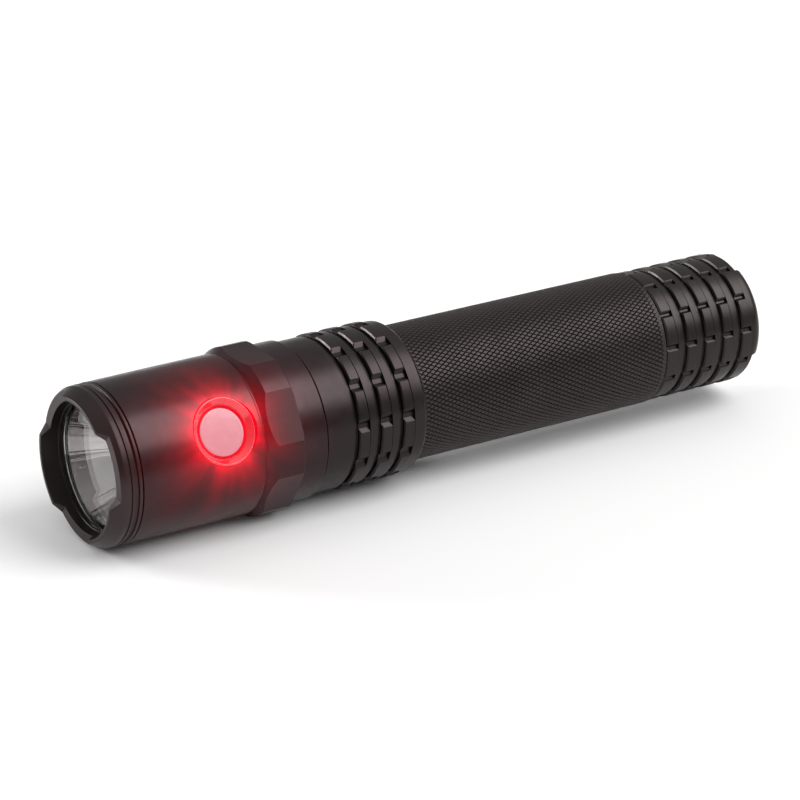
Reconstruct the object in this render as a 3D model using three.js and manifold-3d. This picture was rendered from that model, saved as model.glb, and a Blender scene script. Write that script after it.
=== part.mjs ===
// Hand torch with a strike bezel, a lit side button and a screw-on tail cap. Millimetres, +Z up.
// The torch lies along X with its lens towards -X, on one flat of its six-sided collar. The origin is
// at the middle of its length, on the surface it lies on. Inside the torch group, X is the distance
// behind a datum plane just in front of the bezel's tips, and the torch's own axis is y = z = 0.
import * as THREE from "three";
import { mergeVertices } from "three/addons/utils/BufferGeometryUtils.js";
import Module from "manifold-3d";

const wasm = await Module();
wasm.setup();

// ---- Driving dimensions -------------------------------------------------------------------------
const TIPS = 0.9; // the tips of the bezel's teeth
const TAIL_END = 155.4; // the tail cap's rim
const GAP = 0.3; // between pieces that rest on each other
const SIDES = 36; // facets on the large turned pieces
const HIDDEN_SIDES = 24; // facets on pieces inside the torch
const SMALL_SIDES = 16; // facets on the smallest ones

const COLLAR_APOTHEM = 16; // axis to a collar flat
const COLLAR_R = 16.85; // collar lands
const COLLAR_FRONT = 33.9;
const COLLAR_CREST = 36.1; // where the collar's front chamfer ends
const COLLAR_REAR = 42;
const FLATS = 6;

const SEAM = 7.25; // bezel to head
const BARREL_R = 15.95;
const NECK_R = 15.85;
const JOINT = 47.7; // head to tube
const RING_R = 15.3; // plain ring at the front of the tube
const KNURL_R = 13.6;
const TUBE_END = 130.3; // shoulder of the tube, where the tail cap stops
const TAIL_FRONT = TUBE_END + GAP;

const TOOTH_COUNT = 3;
const TOOTH_CENTRE_DEG = 81; // all angles start at -Y and turn towards +Z
const NOTCH_FLOOR = 2.65;
const NOTCH_FOOT_DEG = 24.5; // half the notch's width at its floor
const NOTCH_TIP_DEG = 31.5; // and at the tips
const SLOT_COUNT = 12;
const SLOT_PHASE_DEG = 10;

const FRONT_RINGS = {
  start: 54, count: 3, pitch: 5.15, groove: 1, ridge: 2.3, ridgeR: 15.65, bandR: 15.35, floorR: 14.7,
  slotR: 15.0, slotWidth: 2.6,
};
const TAIL_RINGS = {
  start: TAIL_FRONT + 0.45, count: 5, pitch: 4.7, groove: 0.9, ridge: 2.3, ridgeR: 13.55, bandR: 13.2,
  floorR: 12.8, slotR: 12.9, slotWidth: 1.9,
};
const FLANGE_END = 70.9; // where the knurled grip starts

const BUTTON_S = 25.9; // centre of the side button
const BUTTON_DEG = 30;
const BUTTON_RING_R = 6.65;
const BUTTON_CAP_R = 5;
const RUNNING = 0.1; // radial play round pieces that move

const BATTERY_R = 10.55; // a 21700 cell in its sleeve
const BORE_R = 10.75;
const BATTERY_FRONT = 52.3;
const BATTERY_REAR = 127;
const NECK_THREAD_R = 12.05; // rear neck of the tube
const CAP_BORE_R = NECK_THREAD_R + RUNNING;
const NECK_END = 137.8;

// ---- Materials ----------------------------------------------------------------------------------
const finish = (color, roughness, metalness, extra = {}) =>
  new THREE.MeshStandardMaterial({ color, roughness, metalness, ...extra });
const MATERIALS = {
  anodised: finish(0x2b2526, 0.42, 0.85),
  rubber: finish(0x141414, 0.8, 0),
  glass: finish(0xdfe8ea, 0.05, 0, { transparent: true, opacity: 0.3 }),
  mirror: finish(0xe8e6e4, 0.06, 1),
  brass: finish(0xc79a4b, 0.35, 1),
  steel: finish(0xb9bcc0, 0.3, 1),
  whitePlastic: finish(0xe9e6df, 0.5, 0),
  blackPlastic: finish(0x1c1c1e, 0.5, 0),
  board: finish(0x1d5236, 0.5, 0.1),
  phosphor: finish(0xf2d95c, 0.4, 0),
  redGlow: finish(0xe0142c, 0.15, 0, { emissive: 0xd00018 }),
  capGlow: finish(0xf7a6ae, 0.3, 0, { emissive: 0xd86070 }),
  sleeve: finish(0x23548c, 0.4, 0),
  wireRed: finish(0xb01616, 0.5, 0),
  wireBlack: finish(0x111111, 0.5, 0),
  bareAluminium: finish(0xa9acb0, 0.4, 1),
};

// ---- Helpers ------------------------------------------------------------------------------------
const rad = THREE.MathUtils.degToRad;

function solidOf(geometry) {
  const bare = new THREE.BufferGeometry();
  bare.setAttribute("position", geometry.getAttribute("position").clone());
  if (geometry.index) bare.setIndex(geometry.index.clone());
  const merged = mergeVertices(bare, 1e-4);
  return new wasm.Manifold(
    new wasm.Mesh({
      numProp: 3,
      vertProperties: new Float32Array(merged.attributes.position.array),
      triVerts: new Uint32Array(merged.index.array),
    }),
  );
}

function geometryOf(solid) {
  const mesh = solid.getMesh();
  const geometry = new THREE.BufferGeometry();
  geometry.setAttribute("position", new THREE.BufferAttribute(mesh.vertProperties, 3));
  geometry.setIndex(new THREE.BufferAttribute(mesh.triVerts, 1));
  return geometry;
}

// A closed outline of [distance along the axis, radius] turned round the X axis.
function turned(outline, sides = SIDES) {
  let area = 0;
  outline.forEach(([s, r], i) => {
    const [s2, r2] = outline[(i + 1) % outline.length];
    area += s * r2 - s2 * r;
  });
  const points = (area > 0 ? [...outline].reverse() : outline).map(([s, r]) => new THREE.Vector2(r, s));
  const first = points.findIndex((p) => p.x === 0);
  const onAxis = first >= 0;
  // An outline that touches the axis has to start and end there.
  const second = (first + 1) % points.length;
  const start = onAxis && points[second].x === 0 ? second : Math.max(first, 0);
  const ordered = [...points.slice(start), ...points.slice(0, start)];
  if (!onAxis) ordered.push(ordered[0].clone());
  return new THREE.LatheGeometry(ordered, sides).rotateZ(-Math.PI / 2);
}

const disc = (s0, s1, r, sides = HIDDEN_SIDES) => turned([[s0, 0], [s0, r], [s1, r], [s1, 0]], sides);
const ring = (s0, s1, inner, outer, sides = HIDDEN_SIDES) =>
  turned([[s0, inner], [s0, outer], [s1, outer], [s1, inner]], sides);

// A round-section ring, such as an O-ring.
function hoop(s, centreR, sectionR) {
  const outline = [];
  for (let i = 0; i < 6; i++) {
    const a = ((i + 0.5) / 6) * 2 * Math.PI;
    outline.push([s + sectionR * Math.cos(a), centreR + sectionR * Math.sin(a)]);
  }
  return turned(outline);
}

function block(length, width, height, x, y, z) {
  return new THREE.BoxGeometry(length, width, height).translate(x, y, z);
}

// A pin standing along +Z from z0 to z1, for the pieces of the button group.
const post = (z0, z1, r, sides = SMALL_SIDES) => disc(z0, z1, r, sides).rotateY(-Math.PI / 2);
const washer = (z0, z1, inner, outer, sides = SMALL_SIDES) =>
  ring(z0, z1, inner, outer, sides).rotateY(-Math.PI / 2);

// A round wire swept along a curve.
function wire(curve, radius, steps, sides = 8) {
  const section = new THREE.Shape();
  for (let i = 0; i < sides; i++) {
    const a = (i / sides) * 2 * Math.PI;
    section[i ? "lineTo" : "moveTo"](radius * Math.cos(a), radius * Math.sin(a));
  }
  return new THREE.ExtrudeGeometry(section, { steps, extrudePath: curve, bevelEnabled: false });
}

// A conical coil spring round the X axis, from s0 to s1.
class Coil extends THREE.Curve {
  constructor(s0, s1, r0, r1, turns) {
    super();
    Object.assign(this, { s0, s1, r0, r1, turns });
  }
  getPoint(t) {
    const r = THREE.MathUtils.lerp(this.r0, this.r1, t);
    const a = t * this.turns * 2 * Math.PI;
    return new THREE.Vector3(THREE.MathUtils.lerp(this.s0, this.s1, t), r * Math.cos(a), r * Math.sin(a));
  }
}

function coilSpring(s0, s1, r0, r1, turns, wireR) {
  return wire(new Coil(s0 + wireR, s1 - wireR, r0, r1, turns), wireR, turns * 11, 5);
}

// Turns a geometry made at -Y to the given angle round the torch's axis.
const toAngle = (geometry, degrees) => geometry.rotateX(-rad(degrees));

function cut(body, ...tools) {
  return geometryOf(tools.reduce((solid, tool) => solid.subtract(solidOf(tool)), solidOf(body)));
}

// ---- Outlines that repeat -----------------------------------------------------------------------
// Grooved rings whose groove comes before each ridge.
function grooveFirstOutline(set) {
  const outline = [];
  for (let i = 0; i < set.count; i++) {
    const s = set.start + i * set.pitch;
    const crest = s + set.groove;
    outline.push([s, set.floorR], [crest, set.floorR], [crest, set.ridgeR]);
    outline.push([crest + set.ridge, set.ridgeR], [crest + set.ridge, set.bandR]);
    if (i < set.count - 1) outline.push([s + set.pitch, set.bandR]);
  }
  return outline;
}

// Grooved rings whose ridge comes before each groove.
function ridgeFirstOutline(set) {
  const outline = [];
  for (let i = 0; i < set.count; i++) {
    const s = set.start + i * set.pitch;
    outline.push([s, set.ridgeR], [s + set.ridge, set.ridgeR]);
    if (i === set.count - 1) break;
    const groove = s + set.pitch - set.groove;
    outline.push([s + set.ridge, set.bandR], [groove, set.bandR]);
    outline.push([groove, set.floorR], [s + set.pitch, set.floorR]);
  }
  return outline;
}

// The slots milled across every ridge of a set, in axial rows.
function slotCutters(set, firstRidge) {
  const height = 3;
  const cutters = [];
  for (let i = 0; i < set.count; i++) {
    // The cutter runs past both sides of the ridge, and more so in front, where there is a groove.
    const length = set.ridge + 0.8;
    const middle = firstRidge + i * set.pitch + length / 2 - 0.6;
    for (let k = 0; k < SLOT_COUNT; k++) {
      const slot = block(length, height, set.slotWidth, middle, -(set.slotR + height / 2), 0);
      cutters.push(toAngle(slot, SLOT_PHASE_DEG + (k * 360) / SLOT_COUNT));
    }
  }
  return cutters;
}

// ---- Bezel, lens, reflector and LED -------------------------------------------------------------
const BEZEL_SKIRT_R = 14.3;
const TIP_INNER_R = 13.55;
const TIP_OUTER_R = 14.25;
const SHOULDER = 3.6; // where the bezel's outer chamfer ends
const LIP_FRONT = 4.3; // the lip that holds the lens
const LIP_REAR = 5;
const LIP_R = 12.6;
const BEZEL_REAR = 13.5;
const SEAT_R = 13.5; // bore behind the lip, round the lens and the reflector's flange
const LENS_R = 13.3;
const LENS_FRONT = 5.6;
const LENS_REAR = 7;
const REFLECTOR_FRONT = 7.2;
const MOUTH_R = 12.3;
const LED_PLANE = 20.4; // front of the LED board's gap

function bezelNotch(centreDeg) {
  const tip = TIP_OUTER_R * Math.sin(rad(NOTCH_TIP_DEG));
  const foot = TIP_OUTER_R * Math.sin(rad(NOTCH_FOOT_DEG));
  const slope = (tip - foot) / (NOTCH_FLOOR - TIPS);
  const outline = new THREE.Shape();
  outline.moveTo(TIPS - 1, -tip - slope);
  outline.lineTo(NOTCH_FLOOR, -foot);
  outline.lineTo(NOTCH_FLOOR, foot);
  outline.lineTo(TIPS - 1, tip + slope);
  const prism = new THREE.ExtrudeGeometry(outline, { depth: 8, bevelEnabled: false });
  return toAngle(prism.translate(0, 0, 10).rotateX(Math.PI / 2), centreDeg);
}

function bezelRing() {
  const outline = [
    [TIPS, TIP_INNER_R], [TIPS, TIP_OUTER_R], [SHOULDER, BARREL_R - 0.2], [4.55, BARREL_R - 0.15],
    [4.6, 15.55], [4.85, 15.55], [4.9, BARREL_R - 0.15], [5.35, BARREL_R - 0.1], [5.5, 15.4],
    [6.2, 15.4], [6.35, BARREL_R - 0.1], [SEAM - GAP, BARREL_R - 0.05],
    [SEAM - GAP, BEZEL_SKIRT_R], [BEZEL_REAR, BEZEL_SKIRT_R], [BEZEL_REAR, SEAT_R],
    [LIP_REAR, SEAT_R], [LIP_REAR, LIP_R], [LIP_FRONT, LIP_R], [LIP_FRONT, LIP_R + 0.6],
  ];
  const notches = [];
  for (let i = 0; i < TOOTH_COUNT; i++) {
    notches.push(bezelNotch(TOOTH_CENTRE_DEG + ((i + 0.5) * 360) / TOOTH_COUNT));
  }
  return cut(turned(outline), ...notches);
}

const frontLens = () =>
  turned([
    [LENS_FRONT, 0], [LENS_FRONT, LENS_R - 0.3], [LENS_FRONT + 0.3, LENS_R],
    [LENS_REAR, LENS_R], [LENS_REAR, 0],
  ]);
const lensGasket = () => ring(LIP_REAR + 0.15, LENS_FRONT - 0.15, LIP_R + 0.1, LENS_R);
const bezelORing = () => hoop(7.85, 14.73, 0.36);

// A thin parabolic bowl that narrows to a hole for the LED.
function reflector() {
  const vertex = 20.2;
  const rearEdge = 19.2;
  const focal = MOUTH_R ** 2 / (4 * (vertex - REFLECTOR_FRONT));
  const bowlR = (s) => Math.sqrt(4 * focal * (vertex - s));
  const inside = [];
  const outside = [];
  const steps = 6;
  for (let i = 0; i <= steps; i++) {
    const s = THREE.MathUtils.lerp(REFLECTOR_FRONT, rearEdge, i / steps);
    inside.push([s, bowlR(s)]);
    if (i > 0) outside.push([s, bowlR(s) + 0.9]);
  }
  const flange = REFLECTOR_FRONT + 0.9;
  const lip = [[flange + 0.2, bowlR(flange) + 0.9], [flange, LENS_R], [REFLECTOR_FRONT, LENS_R]];
  return turned([...inside, ...outside.reverse(), ...lip], HIDDEN_SIDES);
}

const ledCentringRing = () => ring(19.45, LED_PLANE, 3.75, 6.5, SMALL_SIDES);

// A square package with a clear dome on it.
function ledEmitter() {
  const side = 4.8;
  const top = 19.5;
  const base = block(LED_PLANE - top, side, side, (LED_PLANE + top) / 2, 0, 0);
  const domeR = 2.1;
  const dome = [[top + 0.2, 0], [top + 0.2, domeR]];
  for (let i = 0; i <= 5; i++) {
    const a = rad(90 - i * 18);
    dome.push([top - domeR * 0.75 * Math.cos(a), i === 5 ? 0 : domeR * Math.sin(a)]);
  }
  return geometryOf(solidOf(base).add(solidOf(turned(dome, SMALL_SIDES))));
}

const LEAD_R = 0.55;
const LEAD_OFFSET = 7.4; // leads to either side of the axis
const ledBoard = () => disc(LED_PLANE + GAP, 22.2, 9.2);

// ---- Heat sink, driver and the wiring between them ----------------------------------------------
const PILL_FRONT = 22.5;
const PILL_REAR = 35.2;
const PILL_R = 13.3;
const LEDGE_FRONT = PILL_REAR + GAP;
const LEDGE_REAR = 37.2;
const DRIVER_FRONT = LEDGE_REAR + GAP;
const DRIVER_REAR = DRIVER_FRONT + 1.6;
const DRIVER_RING_REAR = 41.7;
const SWITCH_SEAT = 8.4; // distance of the switch pocket's floor from the axis
const LEAD_DEG = 195; // the leads run on the far side from the button

const leadHole = (side) => {
  const hole = disc(PILL_FRONT - 1, PILL_REAR + 1, 1, 12).translate(0, -LEAD_OFFSET, 0);
  return toAngle(hole, LEAD_DEG + side * 18);
};

function heatSinkPill() {
  const slab = block(14, 14, 2 * PILL_R, BUTTON_S, -(SWITCH_SEAT + 7), 0);
  return cut(disc(PILL_FRONT, PILL_REAR, PILL_R), toAngle(slab, BUTTON_DEG), leadHole(-1), leadHole(1));
}

// One insulated lead from the LED board's edge through the heat sink to the driver.
function ledLead(side) {
  const lead = disc(PILL_FRONT + 0.05, DRIVER_FRONT - 0.2, LEAD_R, 10).translate(0, -LEAD_OFFSET, 0);
  return toAngle(lead, LEAD_DEG + side * 18);
}

const driverBoard = () => disc(DRIVER_FRONT, DRIVER_REAR, 12.6);
const driverInductor = () => block(1.3, 4, 4, 36.5, 3.5, -2);
const driverController = () => block(1, 4, 5, 36.7, -4, 1);
const driverRetainingRing = () => ring(DRIVER_REAR + GAP, DRIVER_RING_REAR, 10.4, 12.7);
const driverSpring = () => coilSpring(DRIVER_REAR + 0.1, BATTERY_FRONT - 1.25, 4.4, 2.4, 5, 0.4);

// ---- Head housing -------------------------------------------------------------------------------
function headOutline() {
  return [
    [SEAM, 15.15], [SEAM, 15.8], [20, BARREL_R - 0.05], [COLLAR_FRONT - 0.5, BARREL_R], [COLLAR_FRONT, 15.75],
    [COLLAR_FRONT + 0.1, 15.4], [COLLAR_FRONT + 0.5, 15.4], [COLLAR_CREST, COLLAR_R],
    [COLLAR_REAR - 0.3, COLLAR_R], [COLLAR_REAR, COLLAR_R - 0.4], [COLLAR_REAR, NECK_R],
    [JOINT - 0.3, NECK_R], [JOINT, NECK_R - 0.3], [JOINT, 13], [LEDGE_REAR, 13], [LEDGE_REAR, 11.6],
    [LEDGE_FRONT, 11.6], [LEDGE_FRONT, 13.6], [14, 13.6], [14, 14.6], [8.4, 14.6], [8.4, 15.15],
  ];
}

function headHousing() {
  const thick = 4;
  const tools = [];
  for (let i = 0; i < FLATS; i++) {
    const span = COLLAR_REAR - COLLAR_FRONT + 0.1;
    const slab = block(span, thick, 30, COLLAR_FRONT + span / 2, -(COLLAR_APOTHEM + thick / 2), 0);
    tools.push(toAngle(slab, BUTTON_DEG + (i * 360) / FLATS));
  }
  const buttonHole = disc(10, 20, BUTTON_RING_R + RUNNING).rotateZ(-Math.PI / 2).translate(BUTTON_S, 0, 0);
  tools.push(toAngle(buttonHole, BUTTON_DEG));
  return cut(turned(headOutline()), ...tools);
}

// ---- Side button, in a group of its own whose +Z points out of the torch -------------------------
const BOARD_TOP = SWITCH_SEAT + GAP + 1;
const TACT_TOP = BOARD_TOP + GAP + 2;
const CAP_BOTTOM = 13;
const CAP_TOP = 14.3;
const CAP_FLANGE_R = 5.8;

function sideButtonRing() {
  const outline = [
    [12.7, CAP_FLANGE_R + 0.15], [12.7, BUTTON_RING_R], [15, BUTTON_RING_R],
    [15.4, BUTTON_RING_R - 0.2], [15.4, BUTTON_RING_R - 0.4], [CAP_TOP, BUTTON_CAP_R + RUNNING],
    [CAP_TOP - 0.5, BUTTON_CAP_R + RUNNING], [CAP_TOP - 0.5, CAP_FLANGE_R + 0.15],
  ];
  return turned(outline, HIDDEN_SIDES).rotateY(-Math.PI / 2);
}

function sideButtonCap() {
  const flangeTop = CAP_BOTTOM + 0.6;
  const outline = [
    [CAP_BOTTOM, 0], [CAP_BOTTOM, CAP_FLANGE_R], [flangeTop, CAP_FLANGE_R], [flangeTop, BUTTON_CAP_R],
    [CAP_TOP - 0.35, BUTTON_CAP_R], [CAP_TOP - 0.1, BUTTON_CAP_R - 0.3], [CAP_TOP, BUTTON_CAP_R - 1],
    [CAP_TOP, 0],
  ];
  return turned(outline, HIDDEN_SIDES).rotateY(-Math.PI / 2);
}

const sideButtonGasket = () => washer(12, 12.45, 6, 6.5, HIDDEN_SIDES);
const switchBoard = () => {
  const board = block(9, 13, 1, 1.2, 0, BOARD_TOP - 0.5);
  const hole = () => post(SWITCH_SEAT - 1, BOARD_TOP + 1, 0.8, 12);
  const holes = [-1, 1].map((side) => hole().translate(0, side * 5.2, 0));
  return cut(board, ...holes);
};

function tactSwitchBody() {
  const body = block(5, 5, 2, 0, 0, BOARD_TOP + GAP + 1);
  return cut(body, post(BOARD_TOP + GAP + 0.6, TACT_TOP + 1, 1.35, 16));
}
const tactSwitchPlunger = () => post(BOARD_TOP + 1.6, CAP_BOTTOM - 0.1, 1.25, 16);
const indicatorLed = (side) => block(1, 1.6, 0.8, -2.75, side * 3.4, BOARD_TOP + 0.45);

// A pan-head screw that holds the switch board to the heat sink.
function boardScrew(side) {
  const shank = 0.5;
  const top = BOARD_TOP + 0.15;
  const outline = [
    [SWITCH_SEAT + 0.1, 0], [SWITCH_SEAT + 0.1, shank], [top, shank], [top, 1.1],
    [top + 0.5, 1.1], [top + 0.6, 0.9],
    [top + 0.6, 0],
  ];
  const screw = turned(outline, 12).rotateY(-Math.PI / 2);
  const recess = block(0.3, 1.4, 0.4, 0, 0, top + 0.6);
  return cut(screw, recess).translate(0, side * 5.2, 0);
}

// ---- Tube and battery ---------------------------------------------------------------------------
const TUBE_NECK_FRONT = 42.1;
const TUBE_NECK_R = 12.7;

function bodyTube() {
  const outline = [
    [TUBE_NECK_FRONT, BORE_R], [TUBE_NECK_FRONT, TUBE_NECK_R], [44.7, TUBE_NECK_R], [44.7, 11.7],
    [46.5, 11.7], [46.5, TUBE_NECK_R], [JOINT + GAP, TUBE_NECK_R], [JOINT + GAP, RING_R],
    [FRONT_RINGS.start, RING_R], ...grooveFirstOutline(FRONT_RINGS),
    [FLANGE_END - 0.6, FRONT_RINGS.bandR - 0.05], [FLANGE_END, FRONT_RINGS.bandR - 0.55],
    [FLANGE_END + 0.2, KNURL_R], [TUBE_END, KNURL_R], [TUBE_END, NECK_THREAD_R],
    [131.6, NECK_THREAD_R], [131.6, 11.25], [133, 11.25], [133, NECK_THREAD_R],
    [NECK_END - 0.4, NECK_THREAD_R], [NECK_END, NECK_THREAD_R - 0.4], [NECK_END, BORE_R],
  ];
  return cut(turned(outline), ...slotCutters(FRONT_RINGS, FRONT_RINGS.start + FRONT_RINGS.groove));
}

const headORing = () => hoop(45.6, 12.45, 0.45);
const tailORing = () => hoop(132.3, 11.66, 0.37);

function batteryCell() {
  const can = BATTERY_R - 0.35;
  const outline = [
    [BATTERY_FRONT - 1.1, 0], [BATTERY_FRONT - 1.1, 3.4], [BATTERY_FRONT + 0.6, 3.4],
    [BATTERY_FRONT + 0.6, can],
    [BATTERY_REAR - 0.2, can], [BATTERY_REAR - 0.2, 0],
  ];
  return turned(outline, HIDDEN_SIDES);
}
const batterySleeve = () => ring(BATTERY_FRONT + 0.1, BATTERY_REAR - 0.3, BATTERY_R - 0.25, BATTERY_R);
const batteryInsulator = () => ring(BATTERY_FRONT - 0.2, BATTERY_FRONT + 0.3, 3.8, 9.9);

// ---- Tail cap and tail switch -------------------------------------------------------------------
const WEB_FRONT = 149.2;
const WEB_REAR = 151.2;
const BOOT_R = 6.9;
const BOOT_TOP = 153.6;
const RECESS_R = 9;
const RIM_NOTCHES = 3;
const RIM_NOTCH_DEPTH = 2.1;
const RIM_NOTCH_DEG = 85;
const TAIL_BOARD_FRONT = 140.1;
const TAIL_BOARD_REAR = 141.3;
const TAIL_SWITCH_REAR = 146;

function tailCap() {
  const round = [];
  const cornerR = 2.2;
  for (let i = 0; i <= 4; i++) {
    const a = rad(i * 22.5);
    round.push([
      TAIL_END - cornerR + cornerR * Math.sin(a),
      TAIL_RINGS.ridgeR - 0.05 - cornerR + cornerR * Math.cos(a),
    ]);
  }
  const rimFront = TAIL_RINGS.start + (TAIL_RINGS.count - 1) * TAIL_RINGS.pitch + TAIL_RINGS.ridge;
  const outline = [
    [TAIL_FRONT, TAIL_RINGS.ridgeR], ...ridgeFirstOutline(TAIL_RINGS),
    [rimFront, TAIL_RINGS.ridgeR - 0.2], ...round, [TAIL_END, RECESS_R + 0.3],
    [TAIL_END - 0.3, RECESS_R], [WEB_REAR, RECESS_R], [WEB_REAR, BOOT_R + 0.4], [WEB_FRONT, BOOT_R + 0.4],
    [WEB_FRONT, CAP_BORE_R], [TAIL_FRONT, CAP_BORE_R],
  ];
  const notches = [];
  for (let i = 0; i < RIM_NOTCHES; i++) {
    const notch = block(RIM_NOTCH_DEPTH + 1, 8, 7.4, TAIL_END - RIM_NOTCH_DEPTH / 2 + 0.5, -12, 0);
    notches.push(toAngle(notch, RIM_NOTCH_DEG + (i * 360) / RIM_NOTCHES));
  }
  return cut(turned(outline), ...slotCutters(TAIL_RINGS, TAIL_RINGS.start), ...notches);
}

const tailSpring = () => coilSpring(BATTERY_REAR + 0.1, TAIL_BOARD_FRONT - 0.1, 3, 4.8, 5, 0.45);
const tailRetainingRing = () => ring(138.2, TAIL_BOARD_FRONT - GAP, 7.5, 11.9);
const tailSwitchBoard = () => disc(TAIL_BOARD_FRONT, TAIL_BOARD_REAR, 11.6);
function tailSwitchBody() {
  const length = TAIL_SWITCH_REAR - TAIL_BOARD_REAR - GAP;
  const body = block(length, 10, 10, TAIL_SWITCH_REAR - length / 2, 0, 0);
  return cut(body, disc(TAIL_SWITCH_REAR - 3.4, TAIL_SWITCH_REAR + 1, 2.5 + RUNNING, SMALL_SIDES));
}
const tailSwitchPlunger = () =>
  turned([
    [TAIL_SWITCH_REAR - 1.6, 0], [TAIL_SWITCH_REAR - 1.6, 2.5], [BOOT_TOP - 3, 2.5], [BOOT_TOP - 2.4, 4.2],
    [BOOT_TOP - 1.4, 4.2], [BOOT_TOP - 1.4, 0],
  ], SMALL_SIDES);
const tailSwitchWasher = () => ring(TAIL_SWITCH_REAR + GAP, 147.4, 7.4, 11.7);

// A rubber cup: a clamped flange, a side wall and a rounded top with a shallow dish.
function tailBoot() {
  const skin = 1.1;
  const outline = [
    [147.7, BOOT_R - skin], [147.7, 11.7], [148.9, 11.7], [148.9, BOOT_R], [BOOT_TOP - 1.2, BOOT_R],
    [BOOT_TOP - 0.4, BOOT_R - 0.4], [BOOT_TOP, BOOT_R - 1.4], [BOOT_TOP - 0.2, 0], [BOOT_TOP - 1.1, 0],
    [BOOT_TOP - 1.1, BOOT_R - skin - 0.3], [BOOT_TOP - 1.5, BOOT_R - skin],
  ];
  return turned(outline, HIDDEN_SIDES);
}

// ---- Assembly -----------------------------------------------------------------------------------
function add(group, name, geometry, material) {
  const mesh = new THREE.Mesh(geometry, material);
  mesh.name = name;
  group.add(mesh);
}

function addHead(group) {
  const m = MATERIALS;
  add(group, "bezel_ring", bezelRing(), m.anodised);
  add(group, "bezel_o_ring", bezelORing(), m.rubber);
  add(group, "front_lens", frontLens(), m.glass);
  add(group, "lens_gasket", lensGasket(), m.rubber);
  add(group, "reflector", reflector(), m.mirror);
  add(group, "led_centring_ring", ledCentringRing(), m.whitePlastic);
  add(group, "led_emitter", ledEmitter(), m.phosphor);
  add(group, "led_board", ledBoard(), m.board);
  add(group, "heat_sink_pill", heatSinkPill(), m.bareAluminium);
  add(group, "led_lead_positive", ledLead(1), m.wireRed);
  add(group, "led_lead_negative", ledLead(-1), m.wireBlack);
  add(group, "head_housing", headHousing(), m.anodised);
  add(group, "driver_board", driverBoard(), m.board);
  add(group, "driver_inductor", driverInductor(), m.blackPlastic);
  add(group, "driver_controller", driverController(), m.blackPlastic);
  add(group, "driver_retaining_ring", driverRetainingRing(), m.brass);
  add(group, "driver_spring", driverSpring(), m.steel);
}

function addSideButton(group) {
  const m = MATERIALS;
  const button = new THREE.Group();
  button.position.x = BUTTON_S;
  button.rotation.x = rad(90 - BUTTON_DEG);
  add(button, "side_button_ring", sideButtonRing(), m.redGlow);
  add(button, "side_button_cap", sideButtonCap(), m.capGlow);
  add(button, "side_button_gasket", sideButtonGasket(), m.rubber);
  add(button, "tact_switch_body", tactSwitchBody(), m.blackPlastic);
  add(button, "tact_switch_plunger", tactSwitchPlunger(), m.whitePlastic);
  add(button, "switch_board", switchBoard(), m.board);
  add(button, "indicator_led_left", indicatorLed(-1), m.redGlow);
  add(button, "indicator_led_right", indicatorLed(1), m.redGlow);
  add(button, "switch_board_screw_left", boardScrew(-1), m.steel);
  add(button, "switch_board_screw_right", boardScrew(1), m.steel);
  group.add(button);
}

function addTube(group) {
  const m = MATERIALS;
  add(group, "head_o_ring", headORing(), m.rubber);
  add(group, "body_tube", bodyTube(), m.anodised);
  add(group, "tail_o_ring", tailORing(), m.rubber);
  add(group, "battery_cell", batteryCell(), m.steel);
  add(group, "battery_sleeve", batterySleeve(), m.sleeve);
  add(group, "battery_insulator", batteryInsulator(), m.whitePlastic);
}

function addTail(group) {
  const m = MATERIALS;
  add(group, "tail_cap", tailCap(), m.anodised);
  add(group, "tail_spring", tailSpring(), m.steel);
  add(group, "tail_retaining_ring", tailRetainingRing(), m.brass);
  add(group, "tail_switch_board", tailSwitchBoard(), m.board);
  add(group, "tail_switch_body", tailSwitchBody(), m.blackPlastic);
  add(group, "tail_switch_plunger", tailSwitchPlunger(), m.whitePlastic);
  add(group, "tail_switch_washer", tailSwitchWasher(), m.blackPlastic);
  add(group, "tail_boot", tailBoot(), m.rubber);
}

const torch = new THREE.Group();
torch.position.set(-(TIPS + TAIL_END) / 2, 0, COLLAR_APOTHEM);
addHead(torch);
addSideButton(torch);
addTube(torch);
addTail(torch);

const part = new THREE.Group();
part.add(torch);
export default part;
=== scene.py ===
"""The looks of a hand torch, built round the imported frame.

Its turned metal pieces are grids of rows along the torch and columns round it. Lengths inside the torch
are in millimetres: s is the distance behind a plane just in front of the bezel's tips, r the distance
from the torch's axis, and an angle starts at -Y and turns towards +Z.
"""
import math

import bmesh
import bpy
import numpy as np
from mathutils import Matrix, Vector


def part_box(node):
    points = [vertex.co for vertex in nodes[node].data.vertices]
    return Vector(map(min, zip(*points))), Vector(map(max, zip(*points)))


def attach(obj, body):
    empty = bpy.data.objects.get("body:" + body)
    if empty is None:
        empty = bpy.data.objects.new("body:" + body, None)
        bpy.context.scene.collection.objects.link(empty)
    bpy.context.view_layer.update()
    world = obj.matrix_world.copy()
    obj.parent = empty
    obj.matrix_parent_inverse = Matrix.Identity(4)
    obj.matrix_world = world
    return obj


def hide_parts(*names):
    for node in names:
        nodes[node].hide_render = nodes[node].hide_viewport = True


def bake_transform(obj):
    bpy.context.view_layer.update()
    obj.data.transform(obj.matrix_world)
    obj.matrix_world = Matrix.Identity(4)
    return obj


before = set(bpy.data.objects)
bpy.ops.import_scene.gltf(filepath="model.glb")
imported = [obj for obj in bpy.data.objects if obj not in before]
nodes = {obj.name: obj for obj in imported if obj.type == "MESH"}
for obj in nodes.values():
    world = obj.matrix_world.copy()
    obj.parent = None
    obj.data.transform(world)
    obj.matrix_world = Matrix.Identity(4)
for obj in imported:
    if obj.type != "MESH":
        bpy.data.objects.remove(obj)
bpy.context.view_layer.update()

MM = 0.001
TIPS = 0.9  # where the bezel's tips start
FRONT_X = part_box("bezel_ring")[0].x - TIPS * MM
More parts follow.
